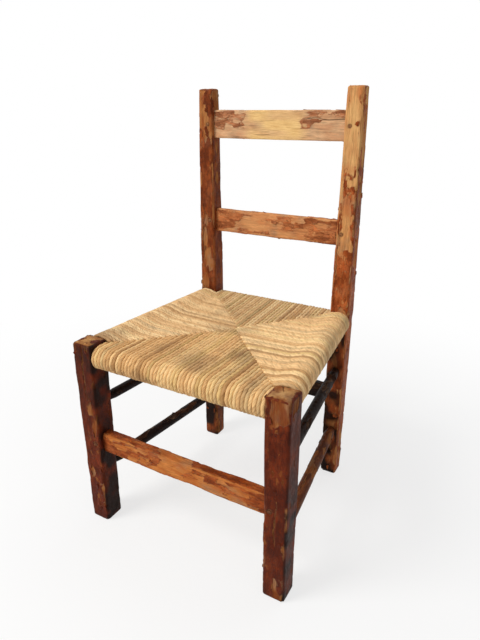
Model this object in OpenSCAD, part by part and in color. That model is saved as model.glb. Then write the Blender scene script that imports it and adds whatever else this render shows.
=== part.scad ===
// A low ladder-back chair with a rush seat, pegged and tenoned together.
// Millimetres, +Z up, +Y towards the back, origin on the floor under the middle of the chair.

/* [Overall] */
// Height of the back posts above the floor
back_h = 650; // [540:5:780]
// Height of the front legs, which end flush with the rush
seat_h = 302; // [250:1:365]
// Spacing of the front legs at the seat, centre to centre
front_w = 312; // [262:1:376]
// Spacing of the back posts at the floor, centre to centre
back_w = 242; // [202:1:292]
// Front legs to back posts at the floor, centre to centre
depth = 281; // [234:1:338]

/* [Lean] */
// How far the back posts lean back between floor and top
lean = 18.5; // [0:0.5:30]
// How far each back post leans out between floor and top
back_splay = 8.5; // [0:0.5:14]
// How far each front leg leans in between seat and foot
front_splay = 4; // [0:0.5:8]

/* [Posts] */
// Side of a front leg at the seat
leg_top = 34.5; // [28:0.5:42]
// Side of a front leg at the floor
leg_foot = 31; // [26:0.5:38]
// Side of a back post at the seat
post_seat = 30; // [25:0.5:37]
// Side of a back post at its top
post_top = 26; // [21:0.5:32]
// Side of a back post at the floor
post_foot = 26; // [21:0.5:32]
// Bevel along the corners and around the ends of every post
post_bevel = 2.5; // [1:0.5:5]

/* [Back slats] */
// From the top of the posts down to the middle of the top slat
top_slat_drop = 57; // [35:1:75]
// Width of the top slat, up and down
top_slat_h = 46; // [36:1:56]
// From the seat up to the middle of the lower slat
low_slat_rise = 128; // [90:1:155]
// Width of the lower slat, up and down
low_slat_h = 40; // [30:1:48]
// Thickness of both slats
slat_t = 12; // [9:0.5:16]

/* [Stretchers] */
// Height of the middle of the front stretcher
front_bar_z = 139; // [115:1:165]
// Width of the front stretcher, up and down
front_bar_h = 31; // [24:1:38]
// Thickness of the front stretcher
front_bar_t = 16; // [12:0.5:20]
// Height of the middle of the rear stretcher
rear_bar_z = 150; // [120:1:180]
// Width of the rear stretcher, up and down
rear_bar_h = 26; // [20:1:32]
// Thickness of the rear stretcher
rear_bar_t = 14; // [11:0.5:18]
// Height of the lower side rungs
low_rung_z = 87; // [70:1:105]
// Radius of the lower side rungs
low_rung_r = 8; // [6.5:0.5:10]
// From the middle of the front stretcher up to the upper side rungs
high_rung_rise = 60; // [45:1:72]
// Radius of the upper side rungs
high_rung_r = 7.5; // [6.5:0.5:9]

/* [Seat] */
// Radius of the four seat rails inside the rush
rail_r = 12; // [10:0.5:14.5]
// Thickness of the layer of rush cord around a rail
rush_t = 6; // [4:0.5:8]
// How much higher the side rails sit than the front and back ones
rail_step = 6; // [4:0.5:8]
// Thickness of the seat between its rails
seat_t = 27; // [22:0.5:32.5]
// Height of the straw packing inside the seat
packing_h = 17; // [12:0.5:20]
// Wall of crossing cords between two pockets of packing
pocket_wall = 4; // [3:0.5:6]

/* [Joints] */
// Radius of the seat rails' tenons
rail_tenon_r = 7; // [5.5:0.25:8.5]
// Radius of the side rungs' tenons
rung_tenon_r = 5.5; // [4.5:0.1:6.6]
// Length of a round tenon inside its post
tenon_l = 20; // [14:1:24]
// Length of a slat's or flat stretcher's tenon inside its post
flat_tenon_l = 18; // [15:1:20]
// Shoulder above and below a flat tenon
tenon_shoulder = 4; // [2:0.5:6]
// Shoulder on each cheek of a flat tenon
tenon_cheek = 2; // [1:0.5:3]
// Radius of the pegs that pin the flat tenons
peg_r = 2.5; // [2:0.25:3]
// From a post's inner face to the middle of its pegs
peg_inset = 9; // [7:0.5:11]

/* [Hidden] */
$fn = 48;
fit_gap = 0.15;        // around every tenon in its mortise
end_gap = 1;           // past the end of every tenon
shoulder_gap = 0.2;    // between a board's shoulder and its post
peg_gap = 0.05;        // around every peg in its hole
peg_proud = 0.3;       // how far a peg's head stands out of its post
peg_past = 5;          // how far a peg runs on behind its tenon
rush_gap = 0.3;        // between the rush and the wood that it touches
neck = 1.5;            // plain end of a rung before it swells
swell = 18;            // length over which a rung swells to its full radius
board_bevel = 1.5;     // bevel along the boards' four long edges
slice_h = 0.2;         // thickness of the slices that shape a post

roll_r = rail_r + rush_t;
rail_z = seat_h - roll_r;
cross_rail_z = rail_z - rail_step / 2;  // front and back rails
side_rail_z = rail_z + rail_step / 2;   // left and right rails
high_rung_z = front_bar_z + high_rung_rise;
low_slat_z = seat_h + low_slat_rise;
top_slat_z = back_h - top_slat_drop;
lean_angle = atan(lean / back_h);
// The chair's middle, front to back, is at y = 0
front_y = (max(roll_r, leg_top / 2) - depth - lean - post_top / 2) / 2;

// ---- where the posts are: side is -1 for left and 1 for right, z is a height

function mix(a, b, t) = a + (b - a) * t;
function leg_axis(side, z) =
    [side * (front_w / 2 - front_splay * (1 - z / seat_h)), front_y, z];
function post_axis(side, z) =
    [side * (back_w / 2 + back_splay * z / back_h), front_y + depth + lean * z / back_h, z];
function leg_half(z) = mix(leg_foot, leg_top, z / seat_h) / 2;
function post_half(z) = z < seat_h
    ? mix(post_foot, post_seat, z / seat_h) / 2
    : mix(post_seat, post_top, (z - seat_h) / (back_h - seat_h)) / 2;

// ---- posts

module bevelled(w, h, b)
    polygon([[b - w / 2, -h / 2], [w / 2 - b, -h / 2], [w / 2, b - h / 2], [w / 2, h / 2 - b],
        [w / 2 - b, h / 2], [b - w / 2, h / 2], [-w / 2, h / 2 - b], [-w / 2, b - h / 2]]);

module slice(centre, half, b)
    translate(centre) linear_extrude(slice_h) bevelled(2 * half, 2 * half, b);

// A leg from the floor to the seat, grown on every side for the cut that clears it
module leg_body(side, grow = 0) {
    top = seat_h - slice_h;
    hull() {
        slice(leg_axis(side, 0), leg_half(0) + grow - post_bevel, post_bevel / 2);
        slice(leg_axis(side, post_bevel), leg_half(post_bevel) + grow, post_bevel);
        slice(leg_axis(side, top - post_bevel), leg_half(top) + grow, post_bevel);
        slice(leg_axis(side, top + grow), leg_half(top) + grow - post_bevel, post_bevel / 2);
    }
}

module post_body(side, grow = 0) {
    top = back_h - slice_h;
    hull() {
        slice(post_axis(side, 0), post_half(0) + grow - post_bevel, post_bevel / 2);
        slice(post_axis(side, post_bevel), post_half(post_bevel) + grow, post_bevel);
        slice(post_axis(side, seat_h), post_half(seat_h) + grow, post_bevel);
        slice(post_axis(side, top - post_bevel), post_half(top) + grow, post_bevel);
        slice(post_axis(side, top), post_half(top) + grow - post_bevel, post_bevel / 2);
    }
}

// ---- round rungs and rails: from a post's axis at a to another's at b

module along(a, b) {
    d = b - a;
    translate(a) rotate([0, acos(d.z / norm(d)), atan2(d.y, d.x)]) children();
}

// face_a and face_b are the distances from each axis to the face of its post
module rung(a, b, face_a, face_b, r, tenon_r, grow = 0) {
    length = norm(b - a);
    start = face_a - tenon_l;
    end = length - face_b + tenon_l;
    near = face_a + neck;
    far = length - face_b - neck;
    t = tenon_r + grow;
    w = r + grow;
    along(a, b) rotate_extrude() polygon([[0, start], [t, start], [t, near],
        [w, near + swell], [w, far - swell], [t, far], [t, end], [0, end]]);
}

// The blind round hole for a rung's tenon in the post whose axis is at a
module mortise(a, b, face_a, tenon_r)
    along(a, b) translate([0, 0, face_a - tenon_l - end_gap])
        cylinder(r = tenon_r + fit_gap, h = tenon_l + end_gap + neck + tenon_r);

// A side rung or rail at height z, its two ends and its slant in plan
function rung_slant(side, z) = let (d = post_axis(side, z) - leg_axis(side, z)) d.y / norm(d);
function leg_face(side, z) = leg_half(z) / rung_slant(side, z);
function post_face(side, z) = post_half(z) / rung_slant(side, z);

module side_rung(side, z, r, tenon_r, grow = 0)
    rung(leg_axis(side, z), post_axis(side, z), leg_face(side, z), post_face(side, z),
        r, tenon_r, grow);

module side_mortise_in_leg(side, z, tenon_r)
    mortise(leg_axis(side, z), post_axis(side, z), leg_face(side, z), tenon_r);

module side_mortise_in_post(side, z, tenon_r)
    mortise(post_axis(side, z), leg_axis(side, z), post_face(side, z), tenon_r);

module front_rail(grow = 0)
    rung(leg_axis(-1, cross_rail_z), leg_axis(1, cross_rail_z),
        leg_half(cross_rail_z), leg_half(cross_rail_z), rail_r, rail_tenon_r, grow);

module back_rail(grow = 0)
    rung(post_axis(-1, cross_rail_z), post_axis(1, cross_rail_z),
        post_half(cross_rail_z), post_half(cross_rail_z), rail_r, rail_tenon_r, grow);

module side_rail(side, grow = 0)
    side_rung(side, side_rail_z, rail_r, rail_tenon_r, grow);

// ---- flat boards between two posts: face is half the distance between the posts

module upright(y, z, tilt)
    translate([0, y, z]) rotate([-tilt, 0, 0]) rotate([90, 0, 90])
        children();

module board_tenon(y, z, tilt, face, h, t, grow = 0, past = 0) {
    reach = face + flat_tenon_l + past;
    upright(y, z, tilt) translate([0, 0, -reach]) linear_extrude(2 * reach)
        square([t - 2 * tenon_cheek + 2 * grow, h - 2 * tenon_shoulder + 2 * grow], center = true);
}

module board(y, z, tilt, face, h, t) {
    reach = face - shoulder_gap;
    upright(y, z, tilt) translate([0, 0, -reach]) linear_extrude(2 * reach)
        bevelled(t, h, board_bevel);
    board_tenon(y, z, tilt, face, h, t);
}

// The narrowest distance from the middle to the back posts along a board's width
function back_face(z, h) =
    min([for (e = [-1, 1]) post_axis(1, z + e * h / 2).x - post_half(z + e * h / 2)]);
function front_face(z, h) =
    min([for (e = [-1, 1]) leg_axis(1, z + e * h / 2).x - leg_half(z + e * h / 2)]);

module back_board(z, h, t)
    board(post_axis(1, z).y, z, lean_angle, back_face(z, h), h, t);
module back_board_mortise(z, h, t)
    board_tenon(post_axis(1, z).y, z, lean_angle, back_face(z, h), h, t, fit_gap, end_gap);
module front_board()
    board(front_y, front_bar_z, 0, front_face(front_bar_z, front_bar_h), front_bar_h, front_bar_t);
module front_board_mortise()
    board_tenon(front_y, front_bar_z, 0, front_face(front_bar_z, front_bar_h),
        front_bar_h, front_bar_t, fit_gap, end_gap);

// ---- pegs: driven in from the front of a post, through a flat tenon

module peg(at, tilt, half, t, grow = 0)
    translate(at) rotate([90 - tilt, 0, 0])
        translate([0, 0, -t / 2 - peg_past]) cylinder(r = peg_r + grow,
            h = t / 2 + peg_past + half + peg_proud);

module slat_pegs_at(z, h, grow = 0)
    for (side = [-1, 1])
        peg([side * (back_face(z, h) + peg_inset), post_axis(1, z).y, z],
            lean_angle, post_half(z), slat_t, grow);

module all_slat_pegs(grow = 0) {
    slat_pegs_at(low_slat_z, low_slat_h, grow);
    slat_pegs_at(top_slat_z, top_slat_h, grow);
}

module front_bar_pegs(grow = 0)
    for (side = [-1, 1])
        peg([side * (front_face(front_bar_z, front_bar_h) + peg_inset), front_y, front_bar_z],
            0, leg_half(front_bar_z), front_bar_t, grow);

// ---- wooden sub-parts

module front_leg(side) color("saddlebrown") difference() {
    leg_body(side);
    side_mortise_in_leg(side, low_rung_z, rung_tenon_r);
    side_mortise_in_leg(side, high_rung_z, rung_tenon_r);
    side_mortise_in_leg(side, side_rail_z, rail_tenon_r);
    mortise(leg_axis(side, cross_rail_z), leg_axis(-side, cross_rail_z),
        leg_half(cross_rail_z), rail_tenon_r);
    front_board_mortise();
    front_bar_pegs(peg_gap);
}

module back_post(side) color("saddlebrown") difference() {
    post_body(side);
    side_mortise_in_post(side, low_rung_z, rung_tenon_r);
    side_mortise_in_post(side, high_rung_z, rung_tenon_r);
    side_mortise_in_post(side, side_rail_z, rail_tenon_r);
    mortise(post_axis(side, cross_rail_z), post_axis(-side, cross_rail_z),
        post_half(cross_rail_z), rail_tenon_r);
    back_board_mortise(rear_bar_z, rear_bar_h, rear_bar_t);
    back_board_mortise(low_slat_z, low_slat_h, slat_t);
    back_board_mortise(top_slat_z, top_slat_h, slat_t);
    all_slat_pegs(peg_gap);
}

module slat(z, h) color("chocolate") difference() {
    back_board(z, h, slat_t);
    slat_pegs_at(z, h, peg_gap);
}

module front_stretcher() color("sienna") difference() {
    front_board();
    front_bar_pegs(peg_gap);
}

module rear_stretcher() color("sienna")
    back_board(rear_bar_z, rear_bar_h, rear_bar_t);

module lower_rung(side) color("sienna")
    side_rung(side, low_rung_z, low_rung_r, rung_tenon_r);
module upper_rung(side) color("sienna")
    side_rung(side, high_rung_z, high_rung_r, rung_tenon_r);

// The side rails' mortises are drilled last, so they notch the cross rails' tenons
module front_seat_rail() color("peru") difference() {
    front_rail();
    for (side = [-1, 1]) side_mortise_in_leg(side, side_rail_z, rail_tenon_r);
}

module back_seat_rail() color("peru") difference() {
    back_rail();
    for (side = [-1, 1]) side_mortise_in_post(side, side_rail_z, rail_tenon_r);
}

module side_seat_rail(side) color("peru") side_rail(side);

module slat_pegs() color("saddlebrown") all_slat_pegs();
module stretcher_pegs() color("saddlebrown") front_bar_pegs();

// ---- the rush seat and its packing

function flat2(p) = [p.x, p.y];
seat_corners = [flat2(leg_axis(-1, rail_z)), flat2(leg_axis(1, rail_z)),
    flat2(post_axis(1, rail_z)), flat2(post_axis(-1, rail_z))];
seat_middle = (seat_corners[0] + seat_corners[1] + seat_corners[2] + seat_corners[3]) / 4;

// A triangle moved in by w on all three sides, towards its incentre
function inset(t, w) = let (
        a = norm(t[1] - t[2]), b = norm(t[2] - t[0]), c = norm(t[0] - t[1]),
        centre = (a * t[0] + b * t[1] + c * t[2]) / (a + b + c),
        area = abs(cross(t[1] - t[0], t[2] - t[0])) / 2,
        radius = 2 * area / (a + b + c))
    [for (p = t) centre + (p - centre) * (1 - w / radius)];

module pocket(side_no, h, w)
    translate([0, 0, rail_z - h / 2]) linear_extrude(h)
        polygon(inset([seat_corners[side_no], seat_corners[(side_no + 1) % 4], seat_middle], w));

module all_rails(grow) {
    front_rail(grow);
    back_rail(grow);
    for (side = [-1, 1]) side_rail(side, grow);
}

// The cord rolled over one rail, from post to post
module roll(a, b, face_a, face_b)
    along(a, b) translate([0, 0, face_a + rush_gap])
        cylinder(r = roll_r, h = norm(b - a) - face_a - face_b - 2 * rush_gap);

module rush_seat() color("burlywood") difference() {
    union() {
        translate([0, 0, rail_z - seat_t / 2]) linear_extrude(seat_t) polygon(seat_corners);
        roll(leg_axis(-1, cross_rail_z), leg_axis(1, cross_rail_z),
            leg_half(cross_rail_z), leg_half(cross_rail_z));
        roll(post_axis(-1, cross_rail_z), post_axis(1, cross_rail_z),
            post_half(cross_rail_z), post_half(cross_rail_z));
        for (side = [-1, 1]) roll(leg_axis(side, side_rail_z), post_axis(side, side_rail_z),
            leg_face(side, side_rail_z), post_face(side, side_rail_z));
    }
    all_rails(rush_gap);
    for (side_no = [0:3]) pocket(side_no, packing_h, pocket_wall);
    for (side = [-1, 1]) {
        leg_body(side, rush_gap);
        post_body(side, rush_gap);
    }
}

module seat_packing() color("khaki") difference() {
    for (side_no = [0:3]) pocket(side_no, packing_h - 2 * rush_gap, pocket_wall + rush_gap);
    all_rails(2 * rush_gap);
    for (side = [-1, 1]) {
        leg_body(side, rush_gap);
        post_body(side, rush_gap);
    }
}

front_leg(-1);  // front_left_leg
front_leg(1);  // front_right_leg
back_post(-1);  // back_left_post
back_post(1);  // back_right_post
slat(top_slat_z, top_slat_h);  // top_slat
slat(low_slat_z, low_slat_h);  // lower_slat
front_stretcher();
rear_stretcher();
lower_rung(-1);  // left_lower_rung
lower_rung(1);  // right_lower_rung
upper_rung(-1);  // left_upper_rung
upper_rung(1);  // right_upper_rung
front_seat_rail();
back_seat_rail();
side_seat_rail(-1);  // left_seat_rail
side_seat_rail(1);  // right_seat_rail
rush_seat();
seat_packing();
slat_pegs();
stretcher_pegs();
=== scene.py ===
"""The peeling paint chair: worn painted timber and a seat of wound rush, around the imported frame.

Meshes are worked out in millimetres."""

from math import atan2, cos, pi, radians, sin

import bpy
import numpy as np
from mathutils import Matrix, Vector
from mathutils.bvhtree import BVHTree


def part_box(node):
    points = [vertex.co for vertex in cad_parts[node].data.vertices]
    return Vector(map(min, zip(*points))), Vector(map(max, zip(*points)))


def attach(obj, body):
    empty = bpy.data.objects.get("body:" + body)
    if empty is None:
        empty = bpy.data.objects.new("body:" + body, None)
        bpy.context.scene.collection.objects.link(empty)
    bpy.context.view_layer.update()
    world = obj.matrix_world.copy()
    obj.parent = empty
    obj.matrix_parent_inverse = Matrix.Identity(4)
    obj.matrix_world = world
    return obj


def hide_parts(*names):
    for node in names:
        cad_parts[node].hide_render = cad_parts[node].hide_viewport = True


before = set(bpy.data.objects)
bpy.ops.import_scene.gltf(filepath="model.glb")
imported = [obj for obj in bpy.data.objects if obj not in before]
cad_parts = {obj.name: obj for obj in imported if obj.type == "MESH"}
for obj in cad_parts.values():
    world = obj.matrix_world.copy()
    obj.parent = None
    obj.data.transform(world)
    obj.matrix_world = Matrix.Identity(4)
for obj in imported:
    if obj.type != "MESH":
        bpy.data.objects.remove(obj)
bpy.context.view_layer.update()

MM = 0.001
BODY = "root"
LEFT, RIGHT = -1, 1
SIDE_NAMES = {LEFT: "left", RIGHT: "right"}
LEGS = {side: "front_" + name + "_leg" for side, name in SIDE_NAMES.items()}
POSTS = {side: "back_" + name + "_post" for side, name in SIDE_NAMES.items()}

# -------- nodes


def rgb(r, g, b):
    """A colour as a screen shows it, turned into Blender's linear one."""
    return tuple(((c + 0.055) / 1.055) ** 2.4 if c > 0.04045 else c / 12.92 for c in (r, g, b)) + (1,)


def shade(colour, factor):
    return tuple(min(1.0, c * factor) for c in colour[:3]) + (1,)


class Number:
    """A number in a shader. Arithmetic with it adds math nodes."""

    def __init__(self, nodes, socket):
        self.nodes, self.socket = nodes, socket

    def __add__(self, other):
        return self.nodes.math("ADD", self, other)

    def __sub__(self, other):
        return self.nodes.math("SUBTRACT", self, other)

    def __rsub__(self, other):
        return self.nodes.math("SUBTRACT", other, self)

    def __mul__(self, other):
        return self.nodes.math("MULTIPLY", self, other)


class Nodes:
    """Shader nodes, added by type, with sockets, Numbers or plain values put in."""

    def __init__(self, owner):
        owner.use_nodes = True
        self.tree = owner.node_tree
        self.tree.nodes.clear()

    def add(self, kind, inputs, **settings):
        node = self.tree.nodes.new("ShaderNode" + kind)
        for key, value in settings.items():
            setattr(node, key, value)
        for key, value in inputs.items():
            value = getattr(value, "socket", value)
            if isinstance(value, bpy.types.NodeSocket):
                self.tree.links.new(value, node.inputs[key])
            else:
                node.inputs[key].default_value = value
        return node

    def math(self, operation, a, b=0.0, **settings):
        return Number(self, self.add("Math", {0: a, 1: b}, operation=operation, **settings).outputs[0])

    def step(self, value, low, high, top=1.0):
        """0 below low, top above high, and smooth between."""
        inputs = {"Value": value, "From Min": low, "From Max": high, "To Max": top}
        return Number(self, self.add("MapRange", inputs, interpolation_type="SMOOTHSTEP").outputs[0])

    def seen_directly(self):
        """1 where the camera, a reflection or a transmitted ray sees this, else 0."""
        path = self.add("LightPath", {})
        seen = self.math("ADD", path.outputs["Is Camera Ray"], path.outputs["Is Glossy Ray"], use_clamp=True)
        return self.math("ADD", seen, path.outputs["Is Transmission Ray"], use_clamp=True)


class Shader(Nodes):
    def __init__(self, name):
        self.material = bpy.data.materials.new(name)
        super().__init__(self.material)

    def attribute(self, name):
        return self.add("Attribute", {}, attribute_name=name).outputs["Vector"]

    def number(self, name):
        return Number(self, self.add("Attribute", {}, attribute_name=name).outputs["Fac"])

    def parts(self, vector):
        return [Number(self, part) for part in self.add("SeparateXYZ", {0: vector}).outputs]

    def vector(self, operation, a, b):
        return self.add("VectorMath", {0: a, 1: b}, operation=operation).outputs[0]

    def noise(self, vector, scale, detail):
        node = self.add("TexNoise", {"Vector": vector, "Scale": scale, "Detail": detail})
        return Number(self, node.outputs["Fac"])

    def mix(self, factor, a, b):
        return self.add("Mix", {0: factor, 6: a, 7: b}, data_type="RGBA").outputs[2]

    def scaled(self, colour, factor):
        """A colour socket made lighter or darker."""
        return self.add("VectorMath", {0: colour, "Scale": factor}, operation="SCALE").outputs[0]

    def blend(self, factor, a, b):
        return Number(self, self.add("Mix", {0: factor, 2: a, 3: b}, data_type="FLOAT").outputs[0])

    def finish(self, colour, roughness, height_mm, specular):
        bump = self.add("Bump", {"Strength": 1.0, "Distance": MM, "Height": height_mm})
        surface = self.add("BsdfPrincipled", {
            "Base Color": colour, "Roughness": roughness, "Normal": bump.outputs[0],
            "Specular IOR Level": specular})
        self.add("OutputMaterial", {"Surface": surface.outputs[0]})
        return self.material


# -------- camera, light and floor

EYE = Vector((0.3967, -0.6756, 0.6348))
LOOK_DOWN, LOOK_LEFT, ROLL = radians(17.95), radians(30.72), radians(-0.84)
LENS_MM, SHIFT_X, SHIFT_Y = 31.01, 0.0173, -0.0675
LIT_POINT = Vector((0, 0, 0.3))  # what the lamps are turned to
WORLD_LIGHT = 0.37  # how strongly the white surroundings light the chair
WARM = (1.0, 0.985, 0.96)
FLOOR_SIZE, FLOOR_COLOUR = 12, (0.86, 0.86, 0.86, 1)
FLOOR_GLOW = 0.72  # how far the floor is plain white under the chair
FADE_FROM, FADE_TO = 0.2, 1.0  # how far away it starts to be whiter, and is all white


def new_object(name, data):
    obj = bpy.data.objects.new(name, data)
    bpy.context.scene.collection.objects.link(obj)
    return obj


def place_camera():
    camera = bpy.data.cameras.new("camera")
    camera.lens = LENS_MM
    camera.shift_x = SHIFT_X
    camera.shift_y = SHIFT_Y
    obj = new_object("camera", camera)
    turn = Matrix.Rotation(LOOK_LEFT, 4, "Z") @ Matrix.Rotation(pi / 2 - LOOK_DOWN, 4, "X")
    obj.matrix_world = Matrix.Translation(EYE) @ turn @ Matrix.Rotation(ROLL, 4, "Z")
    bpy.context.scene.camera = obj


def lamp(name, place, size, watts, colour):
    light = bpy.data.lights.new(name, "AREA")
    light.shape = "DISK"
    light.size = size
    light.energy = watts
    light.color = colour
    aimed = (LIT_POINT - Vector(place)).to_track_quat("-Z", "Y")
    new_object(name, light).matrix_world = Matrix.Translation(place) @ aimed.to_matrix().to_4x4()


def white_background():
    world = bpy.data.worlds.new("studio")
    bpy.context.scene.world = world
    nodes = Nodes(world)
    strength = nodes.add("MapRange", {"Value": nodes.seen_directly(), "To Min": WORLD_LIGHT, "To Max": 1.0})
    white = nodes.add("Background", {"Color": (1, 1, 1, 1), "Strength": strength.outputs[0]})
    nodes.add("OutputWorld", {"Surface": white.outputs[0]})


def pale_floor():
    """A floor that keeps the shadow and fades into the background."""
    bpy.ops.mesh.primitive_plane_add(size=FLOOR_SIZE)
    floor = bpy.context.object
    floor.name = "floor"
    s = Shader("floor")
    place = s.add("TexCoord", {}).outputs["Object"]
    distance = s.add("VectorMath", {0: place}, operation="LENGTH").outputs["Value"]
    white = s.step(distance, FADE_FROM, FADE_TO, 1 - FLOOR_GLOW) + FLOOR_GLOW
    paper = s.add("BsdfDiffuse", {"Color": FLOOR_COLOUR})
    glow = s.add("Emission", {})
    surface = s.add("MixShader", {0: white * s.seen_directly(), 1: paper.outputs[0], 2: glow.outputs[0]})
    s.add("OutputMaterial", {"Surface": surface.outputs[0]})
    floor.data.materials.append(s.material)


def studio():
    """Soft light from above and the left, on a pale floor before a white background."""
    bpy.context.scene.view_settings.view_transform = "Standard"
    lamp("key", (-1.2, -1.6, 2.2), 1.2, 58, WARM)
    lamp("fill", (2.2, -0.9, 1.5), 1.8, 3, WARM)
    lamp("top", (0.3, 0.9, 2.6), 1.5, 9, (1, 1, 1))
    white_background()
    pale_floor()


# -------- materials

WOOD_GLOSS, RUSH_GLOSS, PLAIN_GLOSS = 0.09, 0.4, 0.3  # specular levels
TWIST = 42.0  # turns of a cord's leaves in a metre
RUSH_TONES = [(0.0, (0.66, 0.50, 0.31)), (0.16, (0.77, 0.60, 0.39)), (0.45, (0.87, 0.71, 0.50)),
              (0.72, (0.92, 0.79, 0.58)), (0.9, (0.85, 0.72, 0.49)), (1.0, (0.77, 0.64, 0.42))]


class PaintedWood(Shader):
    """Bare wood with old paint on it. The mesh says how far the paint's edge and its cracks are.

    ghost is how much old paint stays in the grain where the film has gone, and thin is how much
    of the wood's colour comes through what is left of the film."""

    def __init__(self, name, paint, bare, ghost, thin):
        super().__init__(name)
        self.paint, self.bare, self.ghost, self.thin = paint, bare, ghost, thin
        self.grain = self.attribute("grain")
        self.fibres = self.long_noise(0.035, 1500, 3)
        self.patches = self.long_noise(0.4, 95, 3)
        self.blotches = self.noise(self.grain, 30, 3)
        self.dust = self.noise(self.grain, 700, 3) - 0.5
        checks = self.step(self.long_noise(0.012, 1000, 1), 0.66, 0.7)
        self.checks = checks * self.step(self.patches, 0.4, 0.6)
        self.small_flakes()

    def long_noise(self, share, scale, detail):
        """Noise drawn out along the grain: there, it changes at a share of the scale."""
        return self.noise(self.vector("MULTIPLY", self.grain, (1, 1, share)), scale, detail)

    def small_flakes(self):
        """Cells a few mm wide in the film: three random numbers for each, and the way to its edge."""
        bend = self.add("TexNoise", {"Vector": self.grain, "Scale": 260, "Detail": 2}).outputs["Color"]
        bend = self.vector("SUBTRACT", bend, (0.5, 0.5, 0.5))
        bend = self.vector("MULTIPLY", bend, (0.003, 0.003, 0.006))
        place = self.vector("MULTIPLY", self.vector("ADD", bend, self.grain), (1, 1, 0.42))
        inputs = {"Vector": place, "Scale": 300}
        self.luck, self.tone, self.tilt = self.parts(self.add("TexVoronoi", inputs).outputs["Color"])
        self.gap = self.add("TexVoronoi", inputs, feature="DISTANCE_TO_EDGE").outputs[0]

    def wood(self):
        """Fibres, bands and pores, rubbed pale or weathered grey, with drying checks and old stain."""
        mix, step, bare, fibres = self.mix, self.step, self.bare, self.fibres
        pale = self.number("pale")
        bands = self.long_noise(0.02, 330, 2)
        pores = self.long_noise(0.05, 3600, 2)
        wood = mix(step(fibres, 0.36, 0.64), shade(bare, 0.68), shade(bare, 1.12))
        wood = mix(step(bands, 0.5, 0.68, 0.45), wood, shade(bare, 0.55))
        wood = mix(step(pores, 0.55, 0.7, 0.5), wood, shade(bare, 0.42))
        rubbed = mix(step(fibres, 0.34, 0.6), rgb(0.83, 0.65, 0.41), rgb(0.94, 0.79, 0.54))
        rubbed = mix(step(pores, 0.56, 0.7, 0.4), rubbed, rgb(0.66, 0.48, 0.28))
        wood = mix(pale, wood, rubbed)
        wood = mix(self.checks * 0.75, wood, rgb(0.25, 0.15, 0.08))
        grey = mix(step(fibres, 0.4, 0.6), rgb(0.42, 0.35, 0.29), rgb(0.62, 0.54, 0.46))
        wood = mix(step(self.blotches, 0.48, 0.72, 0.5) * (1 - pale), wood, grey)
        stain = step(fibres * 0.55 + self.patches * 0.75, 0.6, 0.74, self.ghost)
        return mix(stain * (1 - pale), wood, shade(self.paint, 1.25))

    def film(self, cracks):
        """What is left of the paint, uneven in tone, chalky in places and worn through in others."""
        mix, step, paint = self.mix, self.step, self.paint
        film = mix(step(self.patches, 0.35, 0.68), shade(paint, 0.68), shade(paint, 1.25))
        film = mix(step(self.tone, 0.0, 1.0), self.scaled(film, 0.82), self.scaled(film, 1.16))
        chalk = mix(0.45 * self.thin, paint, rgb(0.74, 0.60, 0.50))
        film = mix(step(self.blotches, 0.52, 0.78, 0.35), film, chalk)
        worn = step(self.fibres, 0.42, 0.66) * step(self.patches, 0.38, 0.62)
        film = mix(worn * self.thin, film, shade(self.bare, 0.85))
        return mix(cracks * 0.72, film, shade(paint, 0.22))

    def cracks(self):
        """Fine cracks around some of the small flakes, and broad ones where the mesh has them."""
        fine = (1 - self.step(self.gap, 0.01, 0.055)) * self.step(self.tilt, 0.25, 0.6)
        broad = self.number("crack") + self.dust * 0.5
        return self.math("MAXIMUM", fine, 1 - self.step(broad, 0.04, 0.34))

    def edge_mm(self):
        """The way to the paint's ragged edge, positive on the paint. Some small flakes are lost."""
        lost = self.step(self.luck, 0.84, 0.86) * self.step(self.patches, 0.5, 0.56)
        ragged = (self.luck - 0.5) * 1.9 + self.dust * 0.9
        return self.number("paint") + ragged - lost * 7.0

    def worm_holes(self):
        cell = self.add("TexVoronoi", {"Vector": self.grain, "Scale": 95})
        chosen = self.step(self.parts(cell.outputs["Color"])[0], 0.62, 0.63)
        return chosen * self.step(cell.outputs["Distance"], 0.062, 0.048)

    def surface(self):
        cracks, holes, edge = self.cracks(), self.worm_holes(), self.edge_mm()
        covered = self.step(edge, -0.08, 0.1)
        shadow = self.step(edge, -0.8, -0.1) - covered
        # A lighter band just inside the paint's edge: primer showing there, and partly a painted highlight on
        # the edge of the film.
        rim = covered - self.step(edge, 0.12, 0.55)
        wood = self.mix(shadow * 0.55, self.wood(), shade(self.paint, 0.5))
        film = self.mix(rim * 0.4, self.film(cracks), self.mix(0.5, self.paint, rgb(0.88, 0.72, 0.56)))
        colour = self.mix(covered, wood, film)
        # The grime darkens towards this colour: dirt, and painted shade on shaded faces and below the seat.
        colour = self.mix(self.number("grime"), colour, rgb(0.115, 0.052, 0.028))
        colour = self.mix(holes * 0.9, colour, rgb(0.12, 0.07, 0.04))
        roughness = self.blend(covered, 0.8, 0.5) + self.blotches * 0.2 - self.tilt * 0.16 * covered
        film_mm = self.tilt * 0.12 + 0.2 - cracks * 0.22
        height = covered * film_mm + (self.fibres - 0.5) * self.blend(covered, 0.5, 0.14)
        pits = holes * 0.5 + (1 - covered) * self.checks * 0.3
        return self.finish(colour, roughness, height - pits, WOOD_GLOSS)


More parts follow.
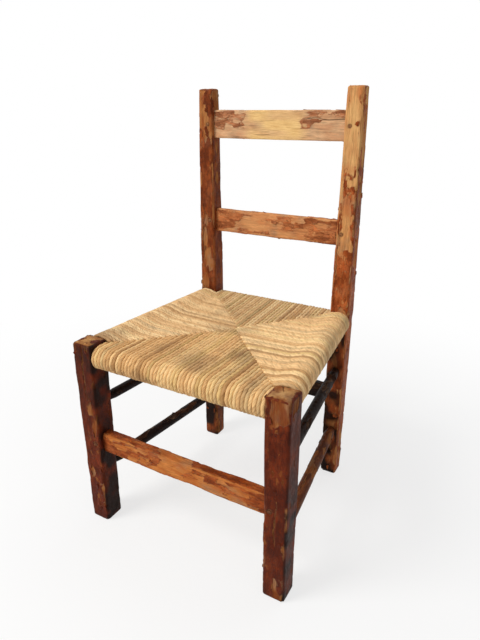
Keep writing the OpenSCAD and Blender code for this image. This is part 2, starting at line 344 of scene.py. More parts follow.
def rush(name, sheen_tint):
    """Twisted rush. The mesh gives the ways around and along a cord, and the cord's own tone. The tint scales
    all its colours, a painted sheen for each section.
    """
    def sheen_tinted(colour):
        return tuple(c * t for c, t in zip(rgb(*colour), sheen_tint)) + (1,)

    s = Shader(name)
    around, along, tone = s.parts(s.attribute("cord"))
    turned = around + along * TWIST
    leaf = s.add("CombineXYZ", {0: turned * 9.0, 1: along * 26.0, 2: tone * 37.0})
    fibres = s.noise(leaf.outputs[0], 1.6, 3)
    lengths = s.add("CombineXYZ", {0: along * 14.0, 1: tone * 91.0})
    fading = s.noise(lengths.outputs[0], 1.0, 2)
    ramp = s.add("ValToRGB", {0: tone})
    while len(ramp.color_ramp.elements) < len(RUSH_TONES):
        ramp.color_ramp.elements.new(0.5)
    for element, (place, colour) in zip(ramp.color_ramp.elements, RUSH_TONES):
        element.position = place
        element.color = sheen_tinted(colour)
    colour = s.mix(s.step(fibres, 0.52, 0.36, 0.5), ramp.outputs[0], sheen_tinted((0.52, 0.36, 0.19)))
    colour = s.mix(s.step(fading, 0.55, 0.8, 0.5), colour, sheen_tinted((0.70, 0.52, 0.30)))
    # The grime darkens towards this colour: dirt, and painted shade on top of the front section.
    colour = s.mix(s.number("grime"), colour, rgb(0.27, 0.17, 0.09))
    seam = s.math("ABSOLUTE", s.math("SINE", turned * (2 * pi)))
    return s.finish(colour, s.blend(fibres, 0.75, 0.5), fibres * 0.35 + seam * 0.22, RUSH_GLOSS)


def plain(name, dark, light, stretch):
    """Bare wood or straw on the frame's own pieces, streaked along their length."""
    s = Shader(name)
    place = s.add("TexCoord", {}).outputs["Object"]
    streaks = s.noise(s.vector("MULTIPLY", place, stretch), 600, 3)
    colour = s.mix(s.step(streaks, 0.35, 0.65), dark, light)
    colour = s.mix(s.step(s.noise(place, 40, 2), 0.5, 0.8, 0.4), colour, shade(dark, 0.7))
    return s.finish(colour, s.blend(streaks, 0.85, 0.6), streaks * 0.3, PLAIN_GLOSS)


# -------- noise and shapes


def stacked(*columns):
    """Arrays or plain numbers side by side, as the last axis of one array."""
    return np.stack(np.broadcast_arrays(*columns), -1)


def unit(vectors):
    return vectors / np.linalg.norm(vectors, axis=-1, keepdims=True)


def lattice(cell, seed):
    """A fixed random number from -1 to 1 for each whole-number cell."""
    x, y, z = np.moveaxis(cell, -1, 0)
    h = x * 73856093 ^ y * 19349663 ^ z * 83492791 ^ seed * 26544357
    h = (h ^ (h >> 13)) * 1274126177
    h = h ^ (h >> 16)
    return (h & 0xFFFF) / 32767.5 - 1


def noise(points, seed):
    """Smooth noise from -1 to 1, with one random number at each whole-number point."""
    cell = np.floor(points).astype(np.int64)
    f = points - cell
    f = f * f * (3 - 2 * f)
    total = 0
    for corner in np.ndindex(2, 2, 2):
        weight = np.prod(np.where(np.array(corner, bool), f, 1 - f), axis=-1)
        total = total + weight * lattice(cell + np.array(corner), seed)
    return total


def rough_noise(points, seed, octaves=3):
    return sum(noise(points * 2 ** k, seed + 7 * k) / 2 ** k for k in range(octaves))


def smooth(value, low, high):
    """0 at low, 1 at high, and smooth between."""
    t = np.clip((value - low) / (high - low), 0, 1)
    return t * t * (3 - 2 * t)


def bell(value, width):
    """1 where value is 0, and next to nothing past twice the width."""
    return np.exp(-((value / width) ** 2))


# -------- meshes


class Mesh:
    """A mesh gathered patch by patch. Its points carry the values the shaders read."""

    def __init__(self):
        self.fields, self.faces, self.total = {}, [], 0

    def add(self, faces, **fields):
        """faces has an array for each number of corners. Fields have a row for each point."""
        for key, values in fields.items():
            self.fields.setdefault(key, []).append(values)
        for corners in faces:
            self.faces.extend((corners + self.total).tolist())
        self.total += len(fields["place"])

    def build(self, name, slot, material, nodes):
        """Makes the Blender object, which stands for these CAD nodes."""
        fields = {key: np.concatenate(values) for key, values in self.fields.items()}
        place = fields.pop("place")
        place[:, 2] = np.maximum(place[:, 2], 0)  # nothing goes through the floor
        mesh = bpy.data.meshes.new(name)
        mesh.from_pydata((place * MM).tolist(), [], self.faces)
        mesh.polygons.foreach_set("use_smooth", [True] * len(mesh.polygons))
        mesh.update()
        for key, values in fields.items():
            kind, member = ("FLOAT_VECTOR", "vector") if values.shape[1] == 3 else ("FLOAT", "value")
            attribute = mesh.attributes.new(key, kind, "POINT")
            attribute.data.foreach_set(member, values.astype(np.float32).ravel())
        mesh.materials.append(material)
        obj = new_object(name, mesh)
        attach(obj, BODY)
        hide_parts(*nodes)


# -------- what the frame measures

END_MM = 4.0  # from a post's end to where its full section starts


def solid(node):
    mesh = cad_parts[node].data
    return BVHTree.FromPolygons([v.co for v in mesh.vertices], [p.vertices for p in mesh.polygons])


def span(tree, point, direction):
    """How far a solid reaches from a point inside it, back and forth along a direction, in mm."""
    ways = (-direction, direction)
    back, ahead = [(1 - tree.ray_cast(point + way, -way)[3]) / MM for way in ways]
    return -back, ahead


def middle(node):
    low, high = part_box(node)
    return (low + high) / 2


SEAT_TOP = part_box(LEGS[RIGHT])[1].z / MM
BACK_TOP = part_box(POSTS[RIGHT])[1].z / MM
HEIGHTS = {**dict.fromkeys(LEGS.values(), [END_MM, SEAT_TOP - END_MM]),
           **dict.fromkeys(POSTS.values(), [END_MM, SEAT_TOP, BACK_TOP - END_MM])}


def post_table(node):
    """A leg's or post's middle and half widths, in mm, at each of its HEIGHTS."""
    tree = solid(node)
    rows = []
    for z in HEIGHTS[node]:
        point = middle(node)
        point.z = z * MM
        x0, x1 = span(tree, point, Vector((1, 0, 0)))
        y0, y1 = span(tree, point, Vector((0, 1, 0)))
        x, y = point.x / MM, point.y / MM
        rows.append((x + (x0 + x1) / 2, y + (y0 + y1) / 2, (x1 - x0) / 2, (y1 - y0) / 2))
    return np.array(rows)


TABLES = {node: post_table(node) for node in HEIGHTS}


def post_at(node, z):
    """Middle x, middle y, half width in x and in y of a leg or post at height z, or at an array of them."""
    heights, rows = HEIGHTS[node], TABLES[node]
    head = (rows[-1] - rows[-2]) / (heights[-1] - heights[-2])
    foot = (rows[1] - rows[0]) / (heights[1] - heights[0])
    above = np.maximum(np.asarray(z) - heights[-1], 0)
    below = np.minimum(np.asarray(z) - heights[0], 0)
    return [np.interp(z, heights, rows[:, k]) + head[k] * above + foot[k] * below for k in range(4)]


# -------- worn timber

AROUND_MM, ALONG_MM = 1.15, 1.5  # the timber's mesh
FLAKE_MM, CHIP_MM = (8.0, 19.0), (3.6, 7.5)  # flakes of paint, across and along the grain
FILM_MM = 0.32  # how thick the paint looks
PLATES_APART_MM = 7.0  # lifted flakes are no nearer to each other
PEG_MM = 2.5  # a peg's radius
ROUND = np.inf  # an arris as large as the timber is thick
FAR = 99.0  # a distance past any that matters


class Timber:
    """One length of worn, painted timber, as rings of points around a straight line.

    Across it run a and b, along it s, in mm, with a x b pointing along s. Each ring has points at
    an and bn, from -1 to 1 across it, and u is the way around. half is half the width in a and b,
    inset how far a ring is inside that, and face how far it is turned to an end, from -1 to 1."""

    def __init__(self, node, seed, arris, a_dir, b_dir, s, centre, half, inset=0, face=0):
        self.node, self.seed, self.arris = node, seed, arris
        self.axes = np.array([a_dir, b_dir, np.cross(a_dir, b_dir)])
        self.s, self.inset, self.face = s[:, None], (inset + 0 * s)[:, None], (face + 0 * s)[:, None]
        self.half = half + 0 * self.s
        self.walls = np.abs(self.face) < 0.01
        self.share = (self.s - s[0]) / (s[-1] - s[0])
        self.go_around(*self.half.max(0))
        self.cross_section(centre)

    def go_around(self, half_a, half_b):
        count_a, count_b = [max(4, round(2 * half / AROUND_MM)) for half in (half_a, half_b)]
        ramp_a, ramp_b = [np.arange(count) / count * 2 - 1 for count in (count_a, count_b)]
        self.an = np.concatenate([ramp_a, 0 * ramp_b + 1, -ramp_a, 0 * ramp_b - 1])
        self.bn = np.concatenate([0 * ramp_a - 1, ramp_b, 0 * ramp_a + 1, -ramp_b])
        a, b = self.an * half_a, self.bn * half_b
        step = np.hypot(np.diff(a, append=a[0]), np.diff(b, append=b[0]))
        self.u = np.concatenate([[0], np.cumsum(step)[:-1]])
        self.around = step.sum()

    def arris_radius(self, largest):
        """The arrises are rounded more where they are knocked."""
        if self.arris == ROUND:
            return largest * 0.999
        corner = (self.an > 0) * 2 + (self.bn > 0) * 1.0
        where = stacked(self.s / 34, corner * 9.0, 0.5)
        knocked = np.maximum(noise(where * (1.9, 1, 1), self.seed + 2) - 0.35, 0) * 4.5
        radius = self.arris * (1.15 + 0.5 * noise(where, self.seed + 1)) + knocked
        return np.clip(radius - 0.6 * self.inset, 0.4, largest * 0.98)

    def cross_section(self, centre):
        """Finds each point of the sound timber, its outward way, and how far it is from an arris."""
        half = (self.half - self.inset)[:, None]
        square = stacked(self.an, self.bn) * half
        radius = self.arris_radius(half.min(-1))[..., None]
        inner = np.clip(square, radius - half, half - radius)
        out = unit(square - inner)
        across = inner + out * radius
        self.spot = stacked(across[..., 0], across[..., 1], self.s)
        self.sound = centre[:, None] + across @ self.axes[:2]
        face = self.face[..., None]
        self.out = unit(out * (1 - np.abs(face)) @ self.axes[:2] + face * self.axes[2])
        self.corner_mm = np.linalg.norm(half - np.abs(square), axis=-1)

    def cells(self, count, first, rows, cell_mm, cover, seed):
        """The film's cells: how far each is off its place in an even grid, and if it's kept."""
        index = stacked(np.arange(count)[:, None], np.arange(rows) + first, 0)
        jitter = 0.43 * stacked(lattice(index, seed), lattice(index, seed + 1))
        u, s = np.moveaxis((index[..., :2] + 0.5 + jitter) * cell_mm, -1, 0)
        an, bn = [np.interp(u, self.u, values, period=self.around) for values in (self.an, self.bn)]
        spot = stacked(an * self.half[:, 0].mean(), bn * self.half[:, 1].mean(), s)
        share = (s - self.s[0]) / (self.s[-1] - self.s[0])
        luck = rough_noise(spot / (17, 17, 46), seed + 3) + 0.35 * lattice(index, seed + 4)
        return jitter, cover(share, an, bn) + luck > 0

    def flakes(self, size, cover, seed):
        """Distances in mm to the edge of the kept paint, positive on it, and to the nearest crack.

        The film is broken into cells, long along the grain, and each cell is kept or lost whole."""
        count = max(3, round(self.around / size[0]))
        cell_mm = np.array([self.around / count, size[1]])
        p = stacked(self.u, self.s) / cell_mm
        home = np.floor(p).astype(np.int64)
        first = home[..., 1].min() - 1
        rows = home[..., 1].max() + 2 - first
        jitter, kept = self.cells(count, first, rows, cell_mm, cover, seed)
        cell = home + stacked(*np.mgrid[-1:2, -1:2]).reshape(9, 1, 1, 2)
        key = (cell[..., 0] % count, cell[..., 1] - first)
        at, state = cell + 0.5 + jitter[key], kept[key]
        far = np.sum((p - at) ** 2, -1)
        nearest = np.argmin(far, 0)[None]
        own = np.take_along_axis(far, nearest, 0)
        own_state = np.take_along_axis(state, nearest, 0)
        way = at - np.take_along_axis(at, nearest[..., None], 0)
        length = np.maximum(np.linalg.norm(way, axis=-1), 1e-6)
        border = (far - own) / (2 * length) * np.linalg.norm(way * cell_mm, axis=-1) / length
        border = np.where(length < 1e-5, FAR, border)
        edge = np.where(state != own_state, border, FAR).min(0)
        return np.where(own_state[0], edge, -edge), border.min(0)

    def wear_paint(self, cover):
        """Sets paint and crack, the distances that the shader draws the film from."""
        flakes, crack = self.flakes(FLAKE_MM, cover, self.seed + 20)
        chips, _ = self.flakes(CHIP_MM, lambda t, a, b: cover(t, a, b) + 0.75, self.seed + 40)
        worn = 0.55 + cover(self.share, self.an, self.bn)
        worn = worn + rough_noise(self.spot / (9, 9, 30), self.seed + 60) - 1.1 * (self.face > 0.5)
        if self.arris != ROUND:
            worn = worn - 1.1 * bell(self.corner_mm, 3.2)
        film = np.where(self.walls, np.minimum(flakes, chips), 6)
        self.paint = np.clip(np.minimum(film, worn * 5), -6, 6)
        self.crack = np.where(self.walls, crack, 6)

    def relief(self):
        """How far the surface stands out: lifting film, worn grain, slow waves and dents."""
        film = smooth(self.paint, -0.4, 0.5)
        lifted = bell(self.paint - 0.7, 1.3) * (self.paint > -0.6)
        lifted = lifted * np.clip(noise(self.spot / (9, 9, 16), self.seed + 11) + 0.25, 0, 1)
        ridges = rough_noise(self.spot / (1.9, 1.9, 30), self.seed + 12, 2) - 0.5
        waves = noise(self.spot / (19, 19, 90), self.seed + 13)
        dents = np.maximum(noise(self.spot / (7, 7, 10), self.seed + 14) - 0.62, 0)
        return FILM_MM * film + 0.6 * lifted + 0.22 * ridges * (1 - film) + 0.22 * waves - 2.4 * dents

    def split(self, column, start, end):
        """The groove of a drying split, 1 where it's deepest. It is dirty, and its edges are bare."""
        drift = 2.5 * noise(stacked(self.s / 22, column, 0), self.seed)
        off = (self.u - column - drift + self.around / 2) % self.around - self.around / 2
        width = smooth(self.share, start - 0.03, start + 0.04) * (1 - smooth(self.share, end - 0.12, end))
        self.grime = np.maximum(self.grime, 0.9 * bell(off, 0.6) * width)
        self.paint = np.where(np.abs(off) < 1.6 * width, np.minimum(self.paint, -0.5), self.paint)
        return bell(off, 0.85) * width

    def weather(self, cover, grime, splits, pale=lambda t, a, b: 0, pegs=()):
        """Wears the paint away, rubs the wood pale, opens splits, and lets the dirt and painted shade settle.

        cover, the dirt and painted shade, and pale give more or less of each at a share of the
        length, an and bn. A split is two shares of the length and a depth in mm, and a peg is the
        middle of its head."""
        self.wear_paint(cover)
        rubbed = np.clip(0.8 + noise(self.spot / (12, 12, 40), 5), 0, 1)
        self.pale = pale(self.share, self.an, self.bn) * rubbed
        settled = np.clip(0.6 + noise(self.spot / 14, self.seed + 9), 0, 1)
        self.grime = grime(self.share, self.an, self.bn) * settled
        from_pegs = [np.linalg.norm(self.sound - peg, axis=-1) for peg in pegs]
        for off in from_pegs:
            ragged = 0.8 * noise(self.spot / 2.5, self.seed + 15)
            self.paint = np.minimum(self.paint, off + ragged - PEG_MM - 1.3)
        relief = self.relief()
        rng = np.random.default_rng(self.seed)
        for start, end, depth in splits:
            relief = relief - depth * self.split(rng.uniform(0, self.around), start, end)
        relief = np.clip(relief, -2.2, 1.6)
        # Dark rings round the peg heads: dirt, and painted shade in the gap around each.
        for off in from_pegs:
            relief = np.where(off < PEG_MM + 2, np.minimum(relief, -0.3), relief)
            self.grime = np.maximum(self.grime, 0.9 * bell(off - PEG_MM, 0.9))
        self.points = self.sound + self.out * relief[..., None]
        return self

    def peel(self, count, mesh):
        """Adds lifted flakes: thin plates held at the paint's edge that curl up over bare wood."""
        rng = np.random.default_rng(self.seed + 100)
        near = (self.paint > 0.5) & (self.paint < 1.9) & self.walls & (self.corner_mm > 3.5)
        near[:3] = near[-3:] = False
        rows, columns = np.nonzero(near)
        taken = []
        for k in rng.permutation(len(rows)):
            if len(taken) >= count:
                break
            j, i = rows[k], columns[k]
            here = self.points[j, i]
            if all(np.linalg.norm(here - other) >= PLATES_APART_MM for other in taken):
                taken.append(here)
                self.add_plate(j, i, rng, mesh)

    def peel_way(self, j, i):
        """The way from the paint to the bare wood, along the surface."""
        way, out = 0, self.out[j, i]
        for before, after in (((j - 1, i), (j + 1, i)), ((j, i - 1), (j, (i + 1) % self.an.size))):
            along = self.points[after] - self.points[before]
            way = way - (self.paint[after] - self.paint[before]) * along / np.dot(along, along)
        way = way - out * np.dot(way, out)
        return unit(along if np.linalg.norm(way) < 0.05 else way)

    def add_plate(self, j, i, rng, mesh):
        out, way = self.out[j, i], self.peel_way(j, i)
        side = np.cross(out, way)
        length = rng.uniform(2.2, 5.0)
        width = rng.uniform(2.5, 5) + rng.uniform(1, 8) * abs(np.dot(side, self.axes[2]))
        curl = rng.uniform(0.15, 0.8)
        skew = rng.uniform(-0.35, 0.35)
        p, q = np.mgrid[0:1:5j, -1:1:6j]
        outline = 1 - 0.35 * p ** 2 + 0.16 * rng.uniform(-1, 1, p.shape) * (np.abs(q) > 0.9)
        reach = 1 + 0.25 * rng.uniform(-1, 1, (1, q.shape[1])) * (p > 0.9)
        forward = length * reach * np.sin(curl * p) / curl - 1.3
        across = width / 2 * q * outline + skew * length * p
        rise = length * (1 - np.cos(curl * p)) / curl + FILM_MM - 0.1
        rise = rise - 0.03 * across ** 2 / max(width, 1)
        base = self.points[j, i] - out * FILM_MM * 0.5
        top = base + forward[..., None] * way + across[..., None] * side + rise[..., None] * out
        top = top.reshape(-1, 3)
        points = np.concatenate([top, top - out * 0.2 - way * 0.05])
        spots = self.spot[j, i] + (points - points[0]) @ self.axes.T
        under = np.repeat([[0.0], [1.0]], p.size, axis=0)
        mesh.add([plate_faces(*p.shape)], place=points, grain=self.grain(spots), crack=5 + 0 * under,
                 paint=5 - 8 * under, grime=0.2 * under, pale=0.3 * under)

    def grain(self, spots):
        """Where the shader finds this timber's grain, in metres, apart from every other timber's."""
        return spots * MM + self.seed * np.array([0.37, 0.53, 0.71])

    def skin(self, mesh):
        """Adds the timber itself, with a fan of faces over each end."""
        rows, columns = self.paint.shape
        grid = np.arange(rows * columns).reshape(rows, columns)
        turned = np.roll(grid, -1, 1)
        walls = stacked(grid[:-1], turned[:-1], turned[1:], grid[1:]).reshape(-1, 4)
        first_end = stacked(turned[0], grid[0], grid.size)
        last_end = stacked(grid[-1], turned[-1], grid.size + 1)
        fields = {key: getattr(self, key) for key in ("paint", "crack", "grime", "pale")}
        fields.update(place=self.points, grain=self.grain(self.spot))
        for key, values in fields.items():
            middles = values[[0, -1]].mean(1)
            fields[key] = np.concatenate([values.reshape(grid.size, -1), middles.reshape(2, -1)])
        mesh.add([walls, first_end, last_end], **fields)

    def build(self, slot, material, plates):
        """Makes the Blender object for this timber and its lifted flakes."""
        mesh = Mesh()
        self.skin(mesh)
        self.peel(plates, mesh)
        mesh.build(self.node + "_timber", slot, material, [self.node])


def plate_faces(n, m):
    """The faces of a closed plate, whose top has n rows of m points and comes before its underside."""
    grid = np.arange(n * m).reshape(n, m)
    top = stacked(grid[:-1, :-1], grid[1:, :-1], grid[1:, 1:], grid[:-1, 1:]).reshape(-1, 4)
    rim = np.concatenate([grid[0], grid[1:, -1], grid[-1, -2::-1], grid[-2:0:-1, 0]])
    after = np.roll(rim, -1)
    return np.concatenate([top, top[:, ::-1] + n * m, stacked(rim, after, after + n * m, rim + n * m)])


def open_end(length):
    """Rings for an end that shows: how far each is from the end, and how far inside the outline."""
    rounded = [(3.2, 0.0), (1.9, 0.35), (0.9, 1.1), (0.25, 2.2), (0.0, 3.6)]
    return np.array(rounded + [(-0.15, inset) for inset in np.arange(5.2, length - 0.5, 1.7)])


def upright(node, seed, **look):
    """A leg or a post, standing on its foot, with its end grain showing on top."""
    low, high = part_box(node)
    bottom, top = low.z / MM, high.z / MM
    drop, inset = open_end(post_at(node, top)[2]).T
    facing = np.minimum(1.0, inset / 2.4)
    body = np.linspace(bottom + END_MM, top - END_MM, round((top - bottom) / ALONG_MM))
    s = np.concatenate([bottom + drop[::-1], body, top - drop])
    insets = np.concatenate([inset[::-1], 0 * body, inset])
    face = np.concatenate([-facing[::-1], 0 * body, facing])
    x, y, *half = post_at(node, s)
    timber = Timber(node, seed, 3.0, (1, 0, 0), (0, 1, 0), s, stacked(x, y, s), stacked(*half), insets, face)
    return timber.weather(**look)


def peg_head(node, crosspiece, side):
    """The middle of the front end of the peg through one end of a slat or stretcher, in mm."""
    low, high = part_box(crosspiece)
    points = [v.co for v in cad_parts[node].data.vertices]
    rims = [co for co in points if co.x * side > 0 and low.z < co.z < high.z]
    half_way = sum(co.y for co in rims) / len(rims)
    head = [co for co in rims if co.y < half_way]
    return np.array(sum(head, Vector())) / len(head) / MM


HIDDEN_END_MM = 4.0  # how far a board or rung runs on inside its post
LEAN_MM = 8  # how far above and below its middle a board's lean is measured


def board(node, seed, uprights, **look):
    """A flat slat or stretcher between two uprights."""
    low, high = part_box(node)
    tree = solid(node)
    centre = middle(node)
    centre.x = 0
    below, here, above = [span(tree, centre + Vector((0, 0, z * MM)), Vector((0, 1, 0)))
                          for z in (-LEAN_MM, 0, LEAN_MM)]
    lean = atan2((sum(above) - sum(below)) / 2, 2 * LEAN_MM)
    half_t = (here[1] - here[0]) / 2 * cos(lean)
    half_h = (high.z - low.z) / 2 / MM / cos(lean) - half_t * abs(sin(lean))
    y, z = centre.y / MM + sum(here) / 2, centre.z / MM
    x, _, half_x, _ = post_at(uprights[RIGHT], z)
    reach = x - half_x + HIDDEN_END_MM
    s = np.linspace(-reach, reach, round(2 * reach / ALONG_MM))
    a_dir, b_dir = (0, cos(lean), -sin(lean)), (0, sin(lean), cos(lean))
    return Timber(node, seed, 2.0, a_dir, b_dir, s, stacked(s, y, z), (half_t, half_h)).weather(**look)


def rung(node, seed, side, **look):
    """A round rung from a front leg to a back post."""
    tree = solid(node)
    z = middle(node).z / MM
    x0, y0, _, leg_half = post_at(LEGS[side], z)
    x1, y1, _, post_half = post_at(POSTS[side], z)
    start, end = np.array([x0, y0, z]), np.array([x1, y1, z])
    length = np.linalg.norm(end - start)
    s_dir, b_dir = (end - start) / length, (0, 0, 1)
    s = np.arange(leg_half - HIDDEN_END_MM, length - post_half + HIDDEN_END_MM, ALONG_MM)
    centre = start + s[:, None] * s_dir
    half = np.array([span(tree, Vector(c * MM), Vector((0, 0, 1)))[1] for c in centre])
    a_dir = np.cross(b_dir, s_dir)
    return Timber(node, seed, ROUND, a_dir, b_dir, s, centre, stacked(half, half)).weather(**look)


# -------- the rush seat

CORD_MM = 5.6
CORD_SIDES, CORD_RING_MM = 10, 2.6
CORD_GAP_MM = 0.3  # between the last cord and a leg or post
HALF_SLAB_MM = 13.5  # half the seat's thickness inside its rails
SAG_MM = 2.2  # how far the seat hangs down inside its rails
FRONT, BACK = -1, 1
END_NAMES = {FRONT: "front", BACK: "back"}
UNDER, OVER = (1.15, 0.35), (0.15, -0.6)  # where a cord goes down a layer, in cords from the mitre


class Strands:
    """All the cords that wrap one seat rail. A function of x and y gives the dirt and painted shade on top.
    """

    def __init__(self, seed, soil):
        self.rng, self.soil, self.mesh = np.random.default_rng(seed), soil, Mesh()

    def add(self, path, wide):
        """A tube along path, an array of points in mm. wide is the unit way across the cord."""
        rng = self.rng
        radius = CORD_MM / 2 * rng.uniform(0.97, 1.05)
        way = np.concatenate([[0], np.cumsum(np.linalg.norm(np.diff(path, axis=0), axis=1))])
        count = max(8, round(way[-1] / CORD_RING_MM))
        s = np.linspace(0, way[-1], count)
        line = stacked(*[np.interp(s, way, column) for column in path.T])
        wobble = noise(stacked(s / 26, rng.uniform(0, 99), 0), 3)
        line = line + 0.35 * wobble[:, None] * wide
        ahead = unit(np.gradient(line, axis=0))
        across = unit(wide - ahead * (ahead @ wide)[:, None])
        up = np.cross(across, ahead)
        phase, pitch = rng.uniform(0, 2 * pi), rng.uniform(10.5, 13.5)
        angle = np.arange(CORD_SIDES) / CORD_SIDES * 2 * pi
        lobes = 1 + 0.085 * np.cos(2 * angle - 2 * pi * s[:, None] / pitch + phase)
        lumps = 1 + 0.06 * noise(stacked(s / 9, rng.uniform(0, 99), 0), 4)
        size = radius * lobes * lumps[:, None]
        size[[0, -1]] *= 0.4  # the ends are drawn in
        ring = 1.05 * np.cos(angle)[:, None] * across[:, None] + 0.95 * np.sin(angle)[:, None] * up[:, None]
        points = line[:, None] + ring * size[..., None]
        tone = np.clip(0.5 + 0.24 * rng.standard_normal(), 0, 1)
        cord = stacked(angle / (2 * pi), s[:, None] * MM + rng.uniform(0, 9), tone)
        self.mesh.add(tube_faces(count), place=points.reshape(-1, 3), cord=cord.reshape(-1, 3),
                      grime=self.dirt(points).reshape(-1, 1))

    def dirt(self, points):
        """Uneven dirt, with the darkening on top, dirt and painted shade, and now and then a cord stale
        throughout.
        """
        x, y, z = np.moveaxis(points, -1, 0)
        on_top = smooth(z, SEAT_TOP - 12, SEAT_TOP - 6)
        dirt = rough_noise(points / 55, 81) - 0.35 + self.soil(x, y) * on_top
        stale = 0.25 * (self.rng.uniform() < 0.06)
        return np.clip(dirt, 0, 1) * 0.6 + stale


def tube_faces(count):
    """The faces of a closed tube of this many rings."""
    grid = np.arange(count * CORD_SIDES).reshape(count, CORD_SIDES)
    turned = np.roll(grid, -1, 1)
    return [stacked(grid[:-1], grid[1:], turned[1:], turned[:-1]).reshape(-1, 4), grid[:1], grid[-1:, ::-1]]


class Seat:
    """Four mitred sections of cord. Side cords end over the front and back ones."""

    def __init__(self):
        self.cross_z = middle("front_seat_rail").z / MM
        self.side_z = middle("right_seat_rail").z / MM
        self.middle_z = (self.cross_z + self.side_z) / 2
        self.rail_y = {end: middle(END_NAMES[end] + "_seat_rail").y / MM for end in (FRONT, BACK)}
        self.turn = self.cross_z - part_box("rush_seat")[0].z / MM - CORD_MM / 2
        self.leg = post_at(LEGS[RIGHT], self.middle_z)
        self.post = post_at(POSTS[RIGHT], self.middle_z)
        self.half_width, self.courses, self.pitch, self.corner_y = {}, {}, {}, {}
        for end, (x, y, half_x, half_y) in ((FRONT, self.leg), (BACK, self.post)):
            self.half_width[end] = x - half_x - CORD_GAP_MM
            self.courses[end] = round(self.half_width[end] / CORD_MM)
            self.pitch[end] = self.half_width[end] / self.courses[end]
            self.corner_y[end] = y - end * (half_y + CORD_GAP_MM)
        self.side_count = self.courses[FRONT] + self.courses[BACK]
        self.side_pitch = (self.corner_y[BACK] - self.corner_y[FRONT]) / self.side_count

    def course_x(self, end, k):
        """How far from the middle the cord is that is k cords from the corner."""
        return self.half_width[end] - (k + 0.5) * self.pitch[end]

    def wrap(self, q_end, dive, centre_z, rng):
        """The path of one cord, as distances from its rail's middle line and heights.

        It leaves the mitre, goes over its rail and comes back below. dive is UNDER or OVER."""
        q = np.linspace(q_end, 0, 26)
        settle = smooth(q, 0, 34)
        down = 0.95 * CORD_MM * smooth(q, q_end - dive[0] * CORD_MM, q_end - dive[1] * CORD_MM)
        low = rng.uniform(0, 0.5)
        line = centre_z * (1 - settle) + self.middle_z * settle - SAG_MM * smooth(q, 10, 120)
        half = self.turn * (1 - settle) + (HALF_SLAB_MM - CORD_MM / 2) * settle - down - low
        arc = np.linspace(pi / 2, -pi / 2, 20)[1:-1]
        round_z = centre_z + (self.turn - low) * np.sin(arc)
        return (np.concatenate([q, -self.turn * np.cos(arc), q[::-1]]),
                np.concatenate([line + half, round_z, (line - half)[::-1]]))

    def end_section(self, end):
        name = END_NAMES[end]
        strands = Strands(1911 + end, SOIL_AND_SHADE[name])
        for side in (LEFT, RIGHT):
            for k in range(self.courses[end]):
                meet = self.corner_y[end] - end * (k + 0.5) * self.side_pitch
                q_end = abs(meet - self.rail_y[end]) + 0.15 * CORD_MM
                q, z = self.wrap(q_end, UNDER, self.cross_z, strands.rng)
                path = stacked(side * self.course_x(end, k), self.rail_y[end] - end * q, z)
                strands.add(path, np.array([1.0, 0, 0]))
        strands.mesh.build("rush_" + name, "rush", RUSH[name], ["rush_seat"] if end == FRONT else [])

    def side_section(self, side):
        name = SIDE_NAMES[side]
        strands = Strands(950 + side, SOIL_AND_SHADE[name])
        for k in range(self.side_count):
            y = self.corner_y[FRONT] + (k + 0.5) * self.side_pitch
            rail_x = np.interp(y, [self.leg[1], self.post[1]], [self.leg[0], self.post[0]])
            end, course = (FRONT, k) if k < self.courses[FRONT] else (BACK, self.side_count - k - 1)
            q_end = rail_x - self.course_x(end, course) + 0.75 * CORD_MM
            q, z = self.wrap(q_end, OVER, self.side_z, strands.rng)
            strands.add(stacked(side * (rail_x - q), y, z), np.array([0, 1.0, 0]))
        strands.mesh.build("rush_" + name, "rush", RUSH[name], [])

    def build(self):
        for end in (FRONT, BACK):
            self.end_section(end)
        for side in (LEFT, RIGHT):
            self.side_section(side)


def front_soil(x, y):
    """Painted shade on top of the front section, most in its middle, so its front roll reads lighter."""
    out = ((x - 18) / 92) ** 2 + ((y + 112) / 55) ** 2
    return 0.12 + 0.68 * bell(out, 1)


# How much darker the top of each section is: painted shade on the front one, and towards the outer edge of
# the left one and the back of the right one.
SOIL_AND_SHADE = {"front": front_soil, "back": lambda x, y: 0,
        "left": lambda x, y: 0.4 * smooth(x, -80, -130),
        "right": lambda x, y: 0.35 * smooth(y, -60, 50)}

# -------- where the paint, bare wood, dirt and painted shade are
#
# t is the share of the length: up a leg or post, right along a board, and backwards along a rung.
# a and b go across, from -1 to 1: right and backwards on a leg or post, backwards and up on a
# board, and sideways and up on a rung.


def leg_cover_and_shade(t, a, b):
    # The right face keeps more of the dark paint: painted shade.
    return 0.6 - 0.6 * smooth(t, 0.9, 1.0) - 0.2 * smooth(t, 0.25, 0.0) + 0.5 * (a > 0.9)


def left_post_cover(t, a, b):
    return 0.6 - 0.3 * smooth(t, 0.6, 0.95) + 0.15 * (a > 0.9)


def right_post_cover(t, a, b):
    """Bare towards the top, in front from lower down than on the right face."""
    right = a > 0.9
    return 0.5 - (1.1 - 1.0 * right) * smooth(t, 0.58, 0.85) - 0.6 * right * smooth(t, 0.82, 0.9)


def top_slat_cover(t, a, b):
    bare = smooth(t, 0.25, 0.33) * (1 - smooth(t, 0.62, 0.7)) * (a < 0.95)
    return 0.3 * (a > 0.95) - 2.5 * bare


def lower_slat_cover(t, a, b):
    return 0.3 - 0.6 * bell(t - 0.5, 0.2) + 0.3 * (a > 0.95) - 0.25 * (b > 0.95)


def stretcher_cover(t, a, b):
    """Feet have worn the front stretcher's top and front."""
    worn = bell(t - 0.5, 0.3)
    return 0.4 - 0.25 * (b > 0.9) * worn - 0.7 * worn * (a < -0.9)


def rung_cover(t, a, b):
    return 0.7 - 0.35 * (b > 0.6)


def leg_pale(t, a, b):
    """Hands have rubbed the tops of the legs."""
    return 0.5 * (t > 0.999)


